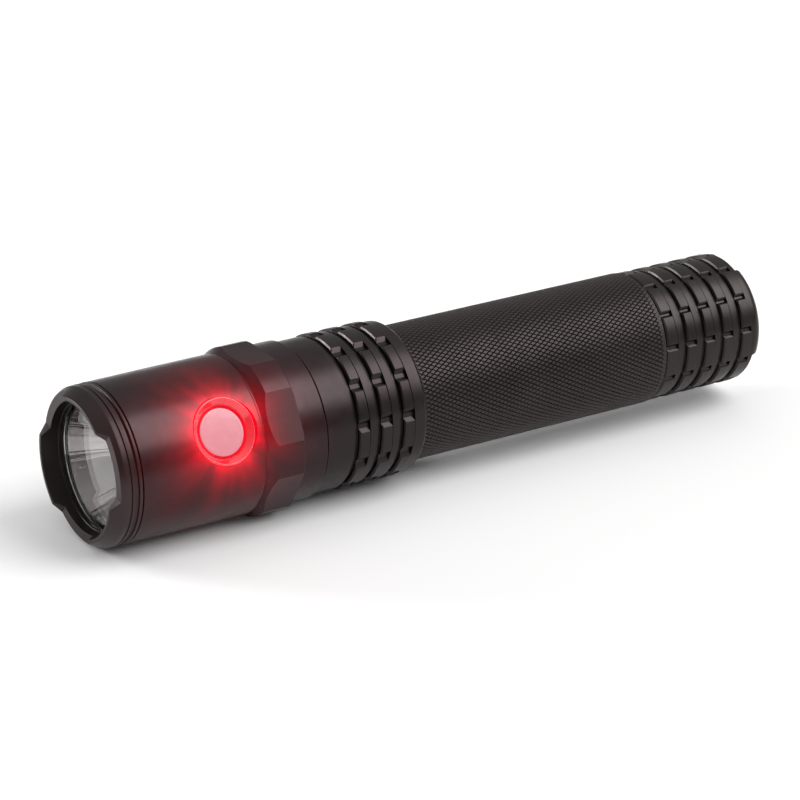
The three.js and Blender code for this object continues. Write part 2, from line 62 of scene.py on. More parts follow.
AXIS_Z = (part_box("head_housing")[0].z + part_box("head_housing")[1].z) / 2
TAIL_END = (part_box("tail_cap")[1].x - FRONT_X) / MM

# Head
SEAM = 7.25  # the barrel's front face, behind the bezel
BARREL_R = 15.95
MOUTH_BORE_R = 14.6  # the bezel's thread
HEAD_BORE_R = 13.6
SOCKET_R = 13  # takes the tube's front neck
COLLAR_FRONT = 33.9
COLLAR_CREST = 36.1
COLLAR_REAR = 42.0
COLLAR_R = 16.85
COLLAR_APOTHEM = 16.0
COLLAR_FLATS = 6
NECK_R = 15.85
JOINT = 47.7  # where the head ends and the tube shows
TEETH = 3
TOOTH_DEG = 81
NOTCH_FLOOR = 2.65
NOTCH_FOOT_DEG = 24.5
NOTCH_TIP_DEG = 31.5
SHOULDER = 3.6  # where the bezel's front cone meets its rim
TIP_OUTER_R = 14.25
TIP_INNER_R = 13.55
LIP_FRONT = 4.3  # the lip that holds the lens
LIP_REAR = 5.0
LIP_R = 12.6
FLARE = 0.2
BEZEL_BORE_R = 13.5
BEZEL_SKIRT_R = 14.3
BEZEL_REAR = 13.5
BEZEL_GROOVES = ((4.6, 4.82, 15.5), (5.5, 6.2, 15.35))

# Side button
BUTTON_S = 25.9
BUTTON_DEG = 30
BUTTON_HOLE_R = 6.75
BUTTON_NORMAL = Vector(
    (0, -math.cos(math.radians(BUTTON_DEG)), math.sin(math.radians(BUTTON_DEG)))
)
BUTTON_FACE = 14.3  # the cap's face, from the torch's axis
CAP_FOOT = 13.0
CAP_R = 5.0
CAP_FACE_R = 4.62
CAP_FLANGE_R = 5.8
GLOW_NEAR = 7 * MM  # the painted red glow's strength is 1 this far from the button
GLOW_FALL = 3.4  # and falls with this power of the distance
GLOW_LOW = 0.45  # between painted glare rays
GLOW_HIGH = 1.15  # along a painted glare ray
GLOW_END = 0.006  # weaker than this is none
GLOW_TOP = 2
BUTTON_CENTRE = Vector((FRONT_X + BUTTON_S * MM, 0, AXIS_Z)) + BUTTON_NORMAL * 15.2 * MM

# Tube
RING_R = 15.3
FLANGE_END = 70.9
KNURL_FRONT = 71.2
KNURL_R = 13.72
KNURL_DEPTH = 0.22
KNURL_STARTS = 90
KNURL_PERIODS = 34
KNURL_LAND = 0.66  # how much of a diamond is flat
SLEEVE_INNER_R = 12.9
TUBE_END = 130.3
BORE_R = 10.75
THREAD_R = 12.05
THREAD_PITCH = 1.25
NECK_END = 137.8

# Tail cap
TAIL_FRONT = 130.6
RIM_NOTCHES = 3
RIM_NOTCH_DEG = 85
RIM_NOTCH_DEPTH = 2.1
RIM_NOTCH_HALF_DEG = 17.5

# Ridges and the slots across them, on the tube and on the tail cap
RIDGE_EDGE = 0.1
RIDGE_BEVEL = 0.45
LINE_WIDTH = 0.24  # the fine line between a ridge and its band
LINE_DEPTH = 0.2
SLOTS = 12
SLOT_PHASE_DEG = 10
FRONT_RINGS = {
    "start": 54.0, "count": 3, "pitch": 5.15, "groove": 1.0, "ridge": 2.3, "ridge_r": 15.65,
    "band_r": 15.35, "floor_r": 14.65, "slot_foot": 0.45, "slot_top": 1.4, "lead": 0.0,
}
TAIL_RINGS = {
    "start": TAIL_FRONT + 0.45, "count": 5, "pitch": 4.7, "groove": 0.9, "ridge": 2.3, "ridge_r": 13.55,
    "band_r": 13.2, "floor_r": 12.75, "slot_foot": 0.2, "slot_top": 0.75, "lead": 0.45,
}


# ---- Geometry helpers -------------------------------------------------------------------------
def at(s, r, degrees):
    """The points at these distances, radii and angles, as an array of rows of x, y, z in metres."""
    a = np.radians(degrees)
    x = FRONT_X + np.asarray(s) * MM + 0 * a
    return np.stack([x, -np.asarray(r) * MM * np.cos(a), AXIS_Z + np.asarray(r) * MM * np.sin(a)], -1)


def columns(knots, step=1.5):
    """Angles all the way round: every knot, and enough between knots to keep them step apart."""
    knots = sorted({round(k % 360, 4) for k in knots})
    angles = []
    for a, b in zip(knots, knots[1:] + [knots[0] + 360]):
        n = max(1, math.ceil((b - a) / step))
        angles += [a + (b - a) * i / n for i in range(n)]
    return np.array(angles)


def rounded(outline, radius=0.12):
    """The outline with each corner turned into a small arc between two rows close to it."""
    points = [np.array(p, float) for p in outline]
    result = []
    for i, p in enumerate(points):
        before, after = points[i - 1] - p, points[(i + 1) % len(points)] - p
        la, lb = np.linalg.norm(before), np.linalg.norm(after)
        turn = math.acos(np.clip(before @ after / (la * lb), -1, 1))
        if turn > math.radians(172) or p[1] < 0.01:
            result.append(p)
            continue
        reach = min(radius, 0.38 * la, 0.38 * lb)
        a, b = p + before / la * reach, p + after / lb * reach
        result.append(p + before / la * reach * 1.2)
        for t in (0, 0.33, 0.67, 1):
            result.append((1 - t) ** 2 * a + 2 * t * (1 - t) * p + t ** 2 * b)
        result.append(p + after / lb * reach * 1.2)
    return result


def divided(outline, step, low, high):
    """The outline with rows added at most step apart where it runs from low to high."""
    result = []
    for p, q in zip(outline, outline[1:] + outline[:1]):
        result.append(p)
        if low <= min(p[0], q[0]) and max(p[0], q[0]) <= high:
            n = max(1, math.ceil(math.hypot(q[0] - p[0], q[1] - p[1]) / step))
            result += [p + (q - p) * i / n for i in range(1, n)]
    return result


def make_object(name, points, faces, crease=33):
    """A smooth-shaded mesh object, with edges sharper than crease degrees left sharp."""
    mesh = bpy.data.meshes.new(name)
    bm = bmesh.new()
    verts = [bm.verts.new(p) for p in points]
    for face in faces:
        if len(set(face)) > 2:
            bm.faces.new([verts[i] for i in face])
    bmesh.ops.remove_doubles(bm, verts=bm.verts, dist=1e-7)
    bmesh.ops.recalc_face_normals(bm, faces=bm.faces)
    bm.to_mesh(mesh)
    bm.free()
    return finish_mesh(name, mesh, crease)


def finish_mesh(name, mesh, crease=33):
    mesh.polygons.foreach_set("use_smooth", [True] * len(mesh.polygons))
    mesh.set_sharp_from_angle(angle=math.radians(crease))
    obj = bpy.data.objects.new(name, mesh)
    bpy.context.scene.collection.objects.link(obj)
    return obj


def grid_faces(rows, cols, first=0, closed=True):
    """Quads between neighbouring rows, round all columns; closed joins the last row to the first."""
    index = first + np.arange(rows * cols).reshape(rows, cols)
    a = index if closed else index[:-1]
    b = np.roll(index, -1, axis=0) if closed else index[1:]
    quads = np.stack([a, np.roll(a, -1, axis=1), np.roll(b, -1, axis=1), b], -1)
    return quads.reshape(-1, 4).tolist()


def spun(outline, angles, shape=None):
    """Points and faces of an outline turned round the torch's axis. shape may move the rows and columns."""
    rows = np.array(outline, float)
    s, a = np.meshgrid(rows[:, 0], angles, indexing="ij")
    r = np.meshgrid(rows[:, 1], angles, indexing="ij")[0]
    if shape:
        s, r, a = shape(s, r, a)
    return at(s, r, a).reshape(-1, 3), grid_faces(*s.shape)


def joined(*parts):
    """Several (points, faces) as one."""
    points, faces, count = [], [], 0
    for p, f in parts:
        points.append(p)
        faces += [[i + count for i in face] for face in f]
        count += len(p)
    return np.concatenate(points), faces


def nearest(angles, count, phase):
    """Signed angle from each column to the nearest of count centres, evenly round from phase."""
    pitch = 360 / count
    return (angles - phase + pitch / 2) % pitch - pitch / 2


def ramp(x, low, high):
    """0 below low, 1 above high, and a straight line between."""
    return np.clip((x - low) / (high - low), 0, 1)


def repeated(count, phase, offsets):
    """The angles at each offset from each of count centres round from phase."""
    return [phase + i * 360 / count + o for i in range(count) for o in offsets]


def to_button(points):
    """Moves points made round +Z, in millimetres, to the side button."""
    turn = Matrix.Rotation(math.radians(90 - BUTTON_DEG), 3, "X")
    base = Vector((FRONT_X + BUTTON_S * MM, 0, AXIS_Z))
    return [base + turn @ (Vector(p) * MM) for p in points]


def lathe_up(outline, sides):
    """Points and faces of an outline of (height, radius) turned round +Z, in millimetres."""
    points = []
    for h, r in outline:
        for i in range(sides):
            a = 2 * math.pi * i / sides
            points.append((max(r, 0) * math.cos(a), max(r, 0) * math.sin(a), h))
    return points, grid_faces(len(outline), sides)


def dress(obj, body, material, slot_name, *replaced):
    """Gives a piece its material and body, and hides the CAD nodes that it stands for; slot_name is not
    used.
    """
    obj.data.materials.clear()
    obj.data.materials.append(material)
    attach(obj, body)
    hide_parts(*replaced)
    return obj


# ---- Material helpers ---------------------------------------------------------------------------
def new_material(name, **values):
    """A principled material with these values on its sockets; returns it with its nodes and shader."""
    material = bpy.data.materials.new(name)
    material.use_nodes = True
    shader = material.node_tree.nodes["Principled BSDF"]
    for key, value in values.items():
        shader.inputs[key.replace("_", " ")].default_value = value
    return material, shader


def node(material, kind, **values):
    made = material.node_tree.nodes.new(kind)
    for key, value in values.items():
        if key in made.inputs:
            made.inputs[key].default_value = value
        else:
            setattr(made, key, value)
    return made


def link(material, source, target):
    material.node_tree.links.new(source, target)


def object_coordinates(material):
    return node(material, "ShaderNodeTexCoord").outputs["Object"]


def noise(material, scale, detail=2.0, stretch=(1, 1, 1)):
    """Noise at so many cells a metre, stretched along the object's axes."""
    mapping = node(material, "ShaderNodeMapping", Scale=stretch)
    link(material, object_coordinates(material), mapping.inputs["Vector"])
    made = node(material, "ShaderNodeTexNoise", Scale=scale, Detail=detail)
    link(material, mapping.outputs["Vector"], made.inputs["Vector"])
    return made.outputs["Fac"]


# A Mix node has a socket of each name for every kind of data, so its colour sockets go by number.
MIX_COLOUR_A = 6
MIX_COLOUR_B = 7
MIX_COLOUR_RESULT = 2


def between(material, factor, low, high):
    """A number or a colour that goes from low to high with the factor."""
    ramp_node = node(material, "ShaderNodeMapRange")
    link(material, factor, ramp_node.inputs["Value"])
    ramp_node.inputs["From Min"].default_value = 0.3
    ramp_node.inputs["From Max"].default_value = 0.7
    if isinstance(low, (int, float)):
        ramp_node.inputs["To Min"].default_value = low
        ramp_node.inputs["To Max"].default_value = high
        return ramp_node.outputs["Result"]
    mix = node(material, "ShaderNodeMix", data_type="RGBA")
    mix.inputs[MIX_COLOUR_A].default_value = (*low, 1)
    mix.inputs[MIX_COLOUR_B].default_value = (*high, 1)
    link(material, ramp_node.outputs["Result"], mix.inputs["Factor"])
    return mix.outputs[MIX_COLOUR_RESULT]


def bump(material, shader, height, distance, strength=1.0):
    made = node(material, "ShaderNodeBump", Strength=strength, Distance=distance)
    link(material, height, made.inputs["Height"])
    link(material, made.outputs["Normal"], shader.inputs["Normal"])


# ---- Materials ------------------------------------------------------------------------------------
def anodised(name, low, high, roughness, turned=0.6, metallic=1.0):
    """Dyed aluminium: a fine satin grain over faint turning lines, with slow changes in its colour."""
    material, shader = new_material(name, Metallic=metallic)
    colour = between(material, noise(material, 90, 3), low, high)
    link(material, colour, shader.inputs["Base Color"])
    link(material, between(material, noise(material, 420, 3), *roughness), shader.inputs["Roughness"])
    grain = noise(material, 9000, 1)
    lines = noise(material, 1, 2, (7500, 30, 30))
    mix = node(material, "ShaderNodeMix", data_type="FLOAT")
    mix.inputs["Factor"].default_value = turned
    link(material, grain, mix.inputs["A"])
    link(material, lines, mix.inputs["B"])
    bump(material, shader, mix.outputs["Result"], 0.000006)
    return material, shader


def add_painted_button_glow(made):
    """Paints the button's red light onto the metal round it as emission: a painted glow with painted glare
    rays, fading with distance.
    """
    material, shader = made
    away = node(material, "ShaderNodeVectorMath", operation="SUBTRACT")
    away.inputs[1].default_value = BUTTON_CENTRE
    link(material, object_coordinates(material), away.inputs[0])
    distance = node(material, "ShaderNodeVectorMath", operation="LENGTH")
    link(material, away.outputs["Vector"], distance.inputs[0])
    ratio = node(material, "ShaderNodeMath", operation="DIVIDE")
    ratio.inputs[1].default_value = GLOW_NEAR
    link(material, distance.outputs["Value"], ratio.inputs[0])
    fade = node(material, "ShaderNodeMath", operation="POWER")
    fade.inputs[1].default_value = -GLOW_FALL
    link(material, ratio.outputs["Value"], fade.inputs[0])
    direction = node(material, "ShaderNodeVectorMath", operation="NORMALIZE")
    link(material, away.outputs["Vector"], direction.inputs[0])
    # Painted glare rays: noise round the button makes the painted glow stronger in some directions than in
    # others.
    painted_glare_rays = node(material, "ShaderNodeTexNoise", Scale=2.6, Detail=2.0)
    link(material, direction.outputs["Vector"], painted_glare_rays.inputs["Vector"])
    power = node(material, "ShaderNodeMath", operation="MULTIPLY")
    link(material, fade.outputs["Value"], power.inputs[0])
    link(material, between(material, painted_glare_rays.outputs["Fac"], GLOW_LOW, GLOW_HIGH), power.inputs[1])
    near = node(material, "ShaderNodeMapRange")
    link(material, power.outputs["Value"], near.inputs["Value"])
    near.inputs["From Min"].default_value = GLOW_END
    near.inputs["From Max"].default_value = GLOW_TOP
    near.inputs["To Max"].default_value = GLOW_TOP - GLOW_END
    shader.inputs["Emission Color"].default_value = (1.0, 0.004, 0.02, 1)
    link(material, near.outputs["Result"], shader.inputs["Emission Strength"])
    return material


def grained(name, low, high, rough=(0.4, 0.55), metallic=0.0, scale=2500.0, depth=0.00001, **values):
    """A plain solid stuff with a fine surface grain and a slight change of colour."""
    material, shader = new_material(name, Metallic=metallic, **values)
    link(material, between(material, noise(material, 260, 3), low, high), shader.inputs["Base Color"])
    link(material, between(material, noise(material, 700, 2), *rough), shader.inputs["Roughness"])
    bump(material, shader, noise(material, scale, 2), depth)
    return material


def circuit_board(name):
    """Green solder mask over copper tracks."""
    material, shader = new_material(name, Coat_Weight=0.4, Coat_Roughness=0.15)
    brick = node(material, "ShaderNodeTexBrick", Scale=420.0)
    brick.inputs["Mortar Size"].default_value = 0.06
    brick.inputs["Color1"].default_value = (0.012, 0.09, 0.035, 1)
    brick.inputs["Color2"].default_value = (0.016, 0.11, 0.042, 1)
    brick.inputs["Mortar"].default_value = (0.03, 0.2, 0.07, 1)
    link(material, object_coordinates(material), brick.inputs["Vector"])
    link(material, brick.outputs["Color"], shader.inputs["Base Color"])
    link(material, between(material, noise(material, 800), 0.3, 0.45), shader.inputs["Roughness"])
    bump(material, shader, brick.outputs["Fac"], 0.00003)
    return material


def mirror(name):
    """The reflector's vacuum-coated bowl, with faint flutes that run from its mouth to the LED."""
    material, shader = new_material(name, Metallic=1.0)
    colour = between(material, noise(material, 120, 3), (0.36, 0.325, 0.325), (0.44, 0.4, 0.4))
    link(material, colour, shader.inputs["Base Color"])
    link(material, between(material, noise(material, 300), 0.03, 0.08), shader.inputs["Roughness"])
    across = node(material, "ShaderNodeVectorMath", operation="SUBTRACT")
    across.inputs[1].default_value = (0, 0, AXIS_Z)
    link(material, object_coordinates(material), across.inputs[0])
    flat = node(material, "ShaderNodeVectorMath", operation="MULTIPLY")
    flat.inputs[1].default_value = (0, 1, 1)
    link(material, across.outputs["Vector"], flat.inputs[0])
    direction = node(material, "ShaderNodeVectorMath", operation="NORMALIZE")
    link(material, flat.outputs["Vector"], direction.inputs[0])
    flutes = node(material, "ShaderNodeTexNoise", Scale=9.0, Detail=2.0)
    link(material, direction.outputs["Vector"], flutes.inputs["Vector"])
    bump(material, shader, flutes.outputs["Fac"], 0.00028)
    return material


def clear_glass(name):
    """The lens, with the faintest wipe marks in its polish."""
    material, shader = new_material(name, Transmission_Weight=1.0, IOR=1.45)
    shader.inputs["Base Color"].default_value = (0.97, 0.985, 0.98, 1)
    link(material, between(material, noise(material, 500, 4), 0.0, 0.02), shader.inputs["Roughness"])
    return material


def lit_plastic(name, colour, emission, low, high, gloss=1.0):
    """Clear moulded plastic lit from inside, uneven where the light passes through it."""
    material, shader = new_material(name, IOR=1.49, Coat_Weight=gloss, Coat_Roughness=0.03)
    shader.inputs["Base Color"].default_value = (*colour, 1)
    shader.inputs["Emission Color"].default_value = (*emission, 1)
    link(material, between(material, noise(material, 190, 2), low, high), shader.inputs["Emission Strength"])
    link(material, between(material, noise(material, 900), 0.1, 0.2), shader.inputs["Roughness"])
    bump(material, shader, noise(material, 600, 2), 0.00001)
    return material


# The tube, head and bezel metal emits a painted red glow with painted glare rays round the side button.
ANODISED = add_painted_button_glow(
    anodised("anodised_tube", (0.033, 0.0265, 0.0268), (0.040, 0.033, 0.0332), (0.3, 0.38)))
ANODISED_HEAD = add_painted_button_glow(
    anodised("anodised_head", (0.034, 0.0265, 0.028), (0.041, 0.0325, 0.034), (0.27, 0.35)))
ANODISED_BEZEL = add_painted_button_glow(
    anodised("anodised_bezel", (0.034, 0.0265, 0.0268), (0.041, 0.0325, 0.033), (0.3, 0.38), metallic=0.85))
ANODISED_TAIL = anodised("anodised_tail", (0.035, 0.031, 0.0295), (0.043, 0.0385, 0.0365), (0.3, 0.38))[0]
KNURLED = anodised(
    "anodised_knurl", (0.043, 0.035, 0.035), (0.053, 0.0435, 0.0432), (0.42, 0.52), 0.2, metallic=0.85)[0]
SEAL_RUBBER = grained("seal_rubber", (0.010, 0.010, 0.010), (0.016, 0.016, 0.016), (0.5, 0.65))
BOOT_RUBBER = grained("boot_rubber", (0.012, 0.012, 0.012), (0.02, 0.019, 0.019), (0.55, 0.7), scale=5000.0)
GLASS = clear_glass("lens_glass")
MIRROR = mirror("mirror_coat")
WHITE_PLASTIC = grained("white_plastic", (0.78, 0.76, 0.7), (0.84, 0.82, 0.77))
PHOSPHOR = grained("led_phosphor", (0.78, 0.6, 0.09), (0.85, 0.68, 0.13), (0.25, 0.4), scale=9000.0)
BOARD = circuit_board("circuit_board")
BARE_ALUMINIUM = anodised("bare_aluminium", (0.5, 0.5, 0.51), (0.62, 0.62, 0.63), (0.25, 0.36))[0]
RED_WIRE = grained("red_wire", (0.42, 0.01, 0.01), (0.5, 0.015, 0.012), (0.3, 0.42))
BLACK_WIRE = grained("black_wire", (0.012, 0.012, 0.012), (0.02, 0.02, 0.02), (0.3, 0.42))
BLACK_PLASTIC = grained("black_plastic", (0.016, 0.016, 0.017), (0.024, 0.024, 0.026))
BRASS = grained("brass_ring", (0.62, 0.42, 0.16), (0.7, 0.5, 0.22), (0.25, 0.38), 1.0)
STEEL = grained("spring_steel", (0.5, 0.49, 0.47), (0.62, 0.61, 0.59), (0.18, 0.3), 1.0)
RED_RING = lit_plastic("red_light_ring", (0.3, 0.008, 0.015), (1.0, 0.012, 0.03), 0.5, 0.85)
RED_SKIRT = lit_plastic("red_skirt", (0.4, 0.01, 0.02), (1.0, 0.012, 0.03), 0.4, 0.6)
LIT_CAP = lit_plastic("lit_cap", (0.45, 0.17, 0.2), (1.0, 0.34, 0.39), 0.29, 0.36, gloss=0.25)
INDICATOR = lit_plastic("indicator_red", (0.8, 0.02, 0.04), (1.0, 0.02, 0.03), 2.7, 3.3)
CAN_STEEL = grained("can_steel", (0.5, 0.5, 0.5), (0.6, 0.6, 0.59), (0.2, 0.3), 1.0)
SLEEVE = grained("sleeve_plastic", (0.02, 0.09, 0.26), (0.03, 0.11, 0.3), (0.2, 0.3), Coat_Weight=0.5)


# ---- Bezel and head ---------------------------------------------------------------------------------
def notched_bezel(s, r, a):
    """Pushes the front rows back to each notch's floor, along the tips' outer and inner slopes."""
    off = np.abs(nearest(a, TEETH, TOOTH_DEG + 180 / TEETH))
    front = TIPS + (NOTCH_FLOOR - TIPS) * (1 - ramp(off, NOTCH_FOOT_DEG, NOTCH_TIP_DEG))
    outside = r > (TIP_OUTER_R + TIP_INNER_R) / 2
    end = np.where(outside, SHOULDER, LIP_FRONT)
    outer_slope = (BARREL_R - 0.2 - TIP_OUTER_R) / (SHOULDER - TIPS)
    inner_slope = (LIP_R + FLARE - TIP_INNER_R) / (LIP_FRONT - TIPS)
    slope = np.where(outside, outer_slope, inner_slope)
    pushed = np.where(s < end, front + (s - TIPS) * (end - front) / (end - TIPS), s)
    return pushed, r + slope * (pushed - s), a


def make_bezel():
    (fine_front, fine_rear, fine_r), (wide_front, wide_rear, wide_r) = BEZEL_GROOVES
    rear = SEAM - 0.3
    outline = rounded([
        (TIPS, TIP_INNER_R), (TIPS, TIP_OUTER_R), (SHOULDER, BARREL_R - 0.2), (fine_front - 0.05, 15.8),
        (fine_front, fine_r), (fine_rear, fine_r), (fine_rear + 0.05, 15.8), (wide_front - 0.15, 15.82),
        (wide_front, wide_r), (wide_rear, wide_r), (wide_rear + 0.15, 15.86), (rear, 15.9),
        (rear, BEZEL_SKIRT_R), (BEZEL_REAR, BEZEL_SKIRT_R), (BEZEL_REAR, BEZEL_BORE_R),
        (LIP_REAR, BEZEL_BORE_R), (LIP_REAR, LIP_R), (LIP_FRONT, LIP_R), (LIP_FRONT, LIP_R + FLARE),
    ], 0.14)
    offsets = []
    for edge in (NOTCH_FOOT_DEG, NOTCH_TIP_DEG):
        offsets += [side * (edge + o) for side in (-1, 1) for o in (-0.4, 0, 0.4)]
    angles = columns(repeated(TEETH, TOOTH_DEG + 180 / TEETH, offsets), 1.25)
    bezel = make_object("bezel", *spun(outline, angles, notched_bezel), crease=28)
    return dress(bezel, "torch_body", ANODISED_BEZEL, "anodised_bezel", "bezel_ring")


def flat_half_angle(r):
    """Half the angle that a collar flat takes where the turned collar has this radius."""
    return np.degrees(np.arccos(np.clip(COLLAR_APOTHEM / np.maximum(r, COLLAR_APOTHEM), 0, 1)))


def flatted_collar(s, r, a):
    """Cuts the collar's flats, and slides the columns so that one always follows a flat's edge."""
    inside = (s > COLLAR_FRONT + 0.3) & (s < COLLAR_REAR + 0.05) & (r > NECK_R - 0.5)
    widest = flat_half_angle(COLLAR_R)
    half = np.where(inside, np.maximum(flat_half_angle(r), 2.0), widest)
    off = nearest(a, COLLAR_FLATS, BUTTON_DEG)
    centre = a - off
    sector = 180 / COLLAR_FLATS
    inner = off * half / widest
    outer = np.sign(off) * (half + (np.abs(off) - widest) * (sector - half) / (sector - widest))
    slid = np.where(np.abs(off) <= widest, inner, outer)
    flat = COLLAR_APOTHEM / np.cos(np.radians(slid))
    return s, np.where(inside, np.minimum(r, flat), r), centre + slid


def head_outline():
    return [
        (SEAM, 15.15), (SEAM, 15.85), (20, BARREL_R - 0.03), (COLLAR_FRONT - 0.4, BARREL_R),
        (COLLAR_FRONT - 0.1, 15.8), (COLLAR_FRONT, 15.3), (COLLAR_FRONT + 0.45, 15.3),
        (COLLAR_CREST, COLLAR_R), (COLLAR_REAR - 0.25, COLLAR_R), (COLLAR_REAR, COLLAR_R - 0.35),
        (COLLAR_REAR, NECK_R), (JOINT - 0.25, NECK_R), (JOINT, NECK_R - 0.3), (JOINT, SOCKET_R),
        (37.2, SOCKET_R), (37.2, 11.6), (35.5, 11.6), (35.5, HEAD_BORE_R), (14, HEAD_BORE_R),
        (14, MOUTH_BORE_R), (8.4, MOUTH_BORE_R), (8.4, 15.15),
    ]


def cut_hole(obj, cutter):
    """Cuts the cutter out of a piece and removes the cutter."""
    modifier = obj.modifiers.new("hole", "BOOLEAN")
    modifier.operation = "DIFFERENCE"
    modifier.solver = "EXACT"
    modifier.object = cutter
    bpy.context.view_layer.update()
    evaluated = obj.evaluated_get(bpy.context.evaluated_depsgraph_get())
    mesh = bpy.data.meshes.new_from_object(evaluated)
    name = obj.name
    bpy.data.objects.remove(cutter)
    bpy.data.objects.remove(obj)
    return finish_mesh(name, mesh)


def make_head():
    outline = rounded(head_outline(), 0.12)
    outline = divided(outline, 0.12, COLLAR_FRONT + 0.4, COLLAR_CREST + 0.1)
    outline = divided(outline, 0.6, BUTTON_S - 8, BUTTON_S + 7.9)
    widest = float(flat_half_angle(COLLAR_R))
    offsets = [side * (widest + o) for side in (-1, 1) for o in (-0.25, 0, 0.25)]
    angles = columns(repeated(COLLAR_FLATS, BUTTON_DEG, offsets), 1.5)
    head = make_object("head", *spun(outline, angles, flatted_collar))
    foot, lip_foot, top = 10, 15.1, 17
    points, faces = lathe_up([
        (foot, 0), (foot, BUTTON_HOLE_R), (lip_foot, BUTTON_HOLE_R), (top, BUTTON_HOLE_R + 0.15), (top, 0),
    ], 96)
    cutter = make_object("cutter", to_button(points), faces)
    head = cut_hole(head, cutter)
    return dress(head, "torch_body", ANODISED_HEAD, "anodised_head", "head_housing")


# ---- Side button --------------------------------------------------------------------------------------
def make_button():
    ring_outline = rounded([
        (12.75, 5.95), (12.75, 6.65), (15.2, 6.65), (15.42, 6.5), (15.45, 6.3), (BUTTON_FACE + 0.25, 5.3),
        (BUTTON_FACE, 5.15), (13.85, 5.15), (13.85, 5.95),
    ], 0.12)
    points, faces = lathe_up(ring_outline, 128)
    ring = make_object("button_light_ring", to_button(points), faces, crease=40)
    dress(ring, "torch_body", RED_RING, "red_light_ring", "side_button_ring")
    flange_top = CAP_FOOT + 0.55
    cap_outline = rounded([
        (CAP_FOOT, 0), (CAP_FOOT, CAP_FLANGE_R), (flange_top, CAP_FLANGE_R), (flange_top, CAP_R),
        (BUTTON_FACE - 0.45, CAP_R), (BUTTON_FACE - 0.08, CAP_FACE_R), (BUTTON_FACE, CAP_FACE_R - 0.25),
        (BUTTON_FACE + 0.04, 2.4), (BUTTON_FACE + 0.05, 0),
    ], 0.1)
    points, faces = lathe_up(cap_outline, 96)
    cap = make_object("button_cap", to_button(points), faces, crease=40)
    dress(cap, "side_button", LIT_CAP, "lit_cap", "side_button_cap")
    cap.data.materials.append(RED_SKIRT)
    axis_point = Vector((FRONT_X + BUTTON_S * MM, 0, AXIS_Z))
    for face in cap.data.polygons:
        from_axis = face.center - axis_point
        if (from_axis - BUTTON_NORMAL * from_axis.dot(BUTTON_NORMAL)).length > (CAP_FACE_R - 0.05) * MM:
            face.material_index = 1


# ---- Tube ---------------------------------------------------------------------------------------------
def slot_floor(rings, a):
    """The radius that the slots leave at each angle."""
    off = np.abs(nearest(a, SLOTS, SLOT_PHASE_DEG)) * math.pi / 180 * rings["ridge_r"]
    wall = ramp(off, rings["slot_foot"], rings["slot_top"])
    floor = (rings["floor_r"] + rings["band_r"]) / 2
    return floor + (rings["ridge_r"] + 0.03 - floor) * wall


def slotted(rings, first):
    """A shape that mills the slots across each ridge. first is where the first ridge starts."""
    def shape(s, r, a):
        along = (s - first) % rings["pitch"]
        last = first + (rings["count"] - 1) * rings["pitch"] + rings["ridge"]
        on_ridge = (along <= rings["ridge"] + 1e-6) | (along >= rings["pitch"] - 1e-6)
        on_ridge |= s < first
        on_ridge &= (s >= first - rings["lead"] - 1e-6) & (s <= last + 1e-6) & (r > rings["floor_r"] + 0.05)
        return s, np.where(on_ridge, np.minimum(r, slot_floor(rings, a)), r), a
    return shape


def slot_columns(rings, extra=()):
    """Columns at the edges of every slot, and at the extra angles."""
    offsets = []
    for edge in (rings["slot_foot"], rings["slot_top"]):
        degrees = math.degrees(edge / rings["ridge_r"])
        offsets += [side * (degrees + o) for side in (-1, 1) for o in (-0.2, 0, 0.2)]
    return columns(repeated(SLOTS, SLOT_PHASE_DEG, offsets) + list(extra), 1.5)


def ridge_outline(rings, s, front=True):
    """One ridge from its front edge at s to the fine line between it and its band."""
    ridge_r, band_r = rings["ridge_r"], rings["band_r"]
    end = s + rings["ridge"]
    corner = [(s, ridge_r - RIDGE_BEVEL), (s + 0.6 * RIDGE_BEVEL, ridge_r)] if front else [(s, ridge_r)]
    return [
        *corner, (end, ridge_r), (end + 0.02, band_r - LINE_DEPTH), (end + LINE_WIDTH, band_r - LINE_DEPTH),
        (end + LINE_WIDTH + 0.02, band_r),
    ]


def groove_first(rings):
    """The outline of rings that start with a groove."""
    outline = []
    for i in range(rings["count"]):
        s = rings["start"] + i * rings["pitch"]
        crest = s + rings["groove"]
        outline += [(s, rings["floor_r"]), (crest, rings["floor_r"]), *ridge_outline(rings, crest)]
        if i < rings["count"] - 1:
            outline.append((s + rings["pitch"], rings["band_r"]))
    return outline


def ridge_first(rings):
    """The outline of rings that start with a ridge, as far as the last ridge's rear edge."""
    outline = [(rings["start"] - rings["lead"], rings["ridge_r"] - 0.2)]
    for i in range(rings["count"]):
        s = rings["start"] + i * rings["pitch"]
        ridge = ridge_outline(rings, s, front=i > 0)
        if i == rings["count"] - 1:
            return outline + ridge[:3]
        groove = s + rings["pitch"] - rings["groove"]
        outline += [*ridge, (groove, rings["band_r"]), (groove, rings["floor_r"])]
        outline.append((s + rings["pitch"], rings["floor_r"]))


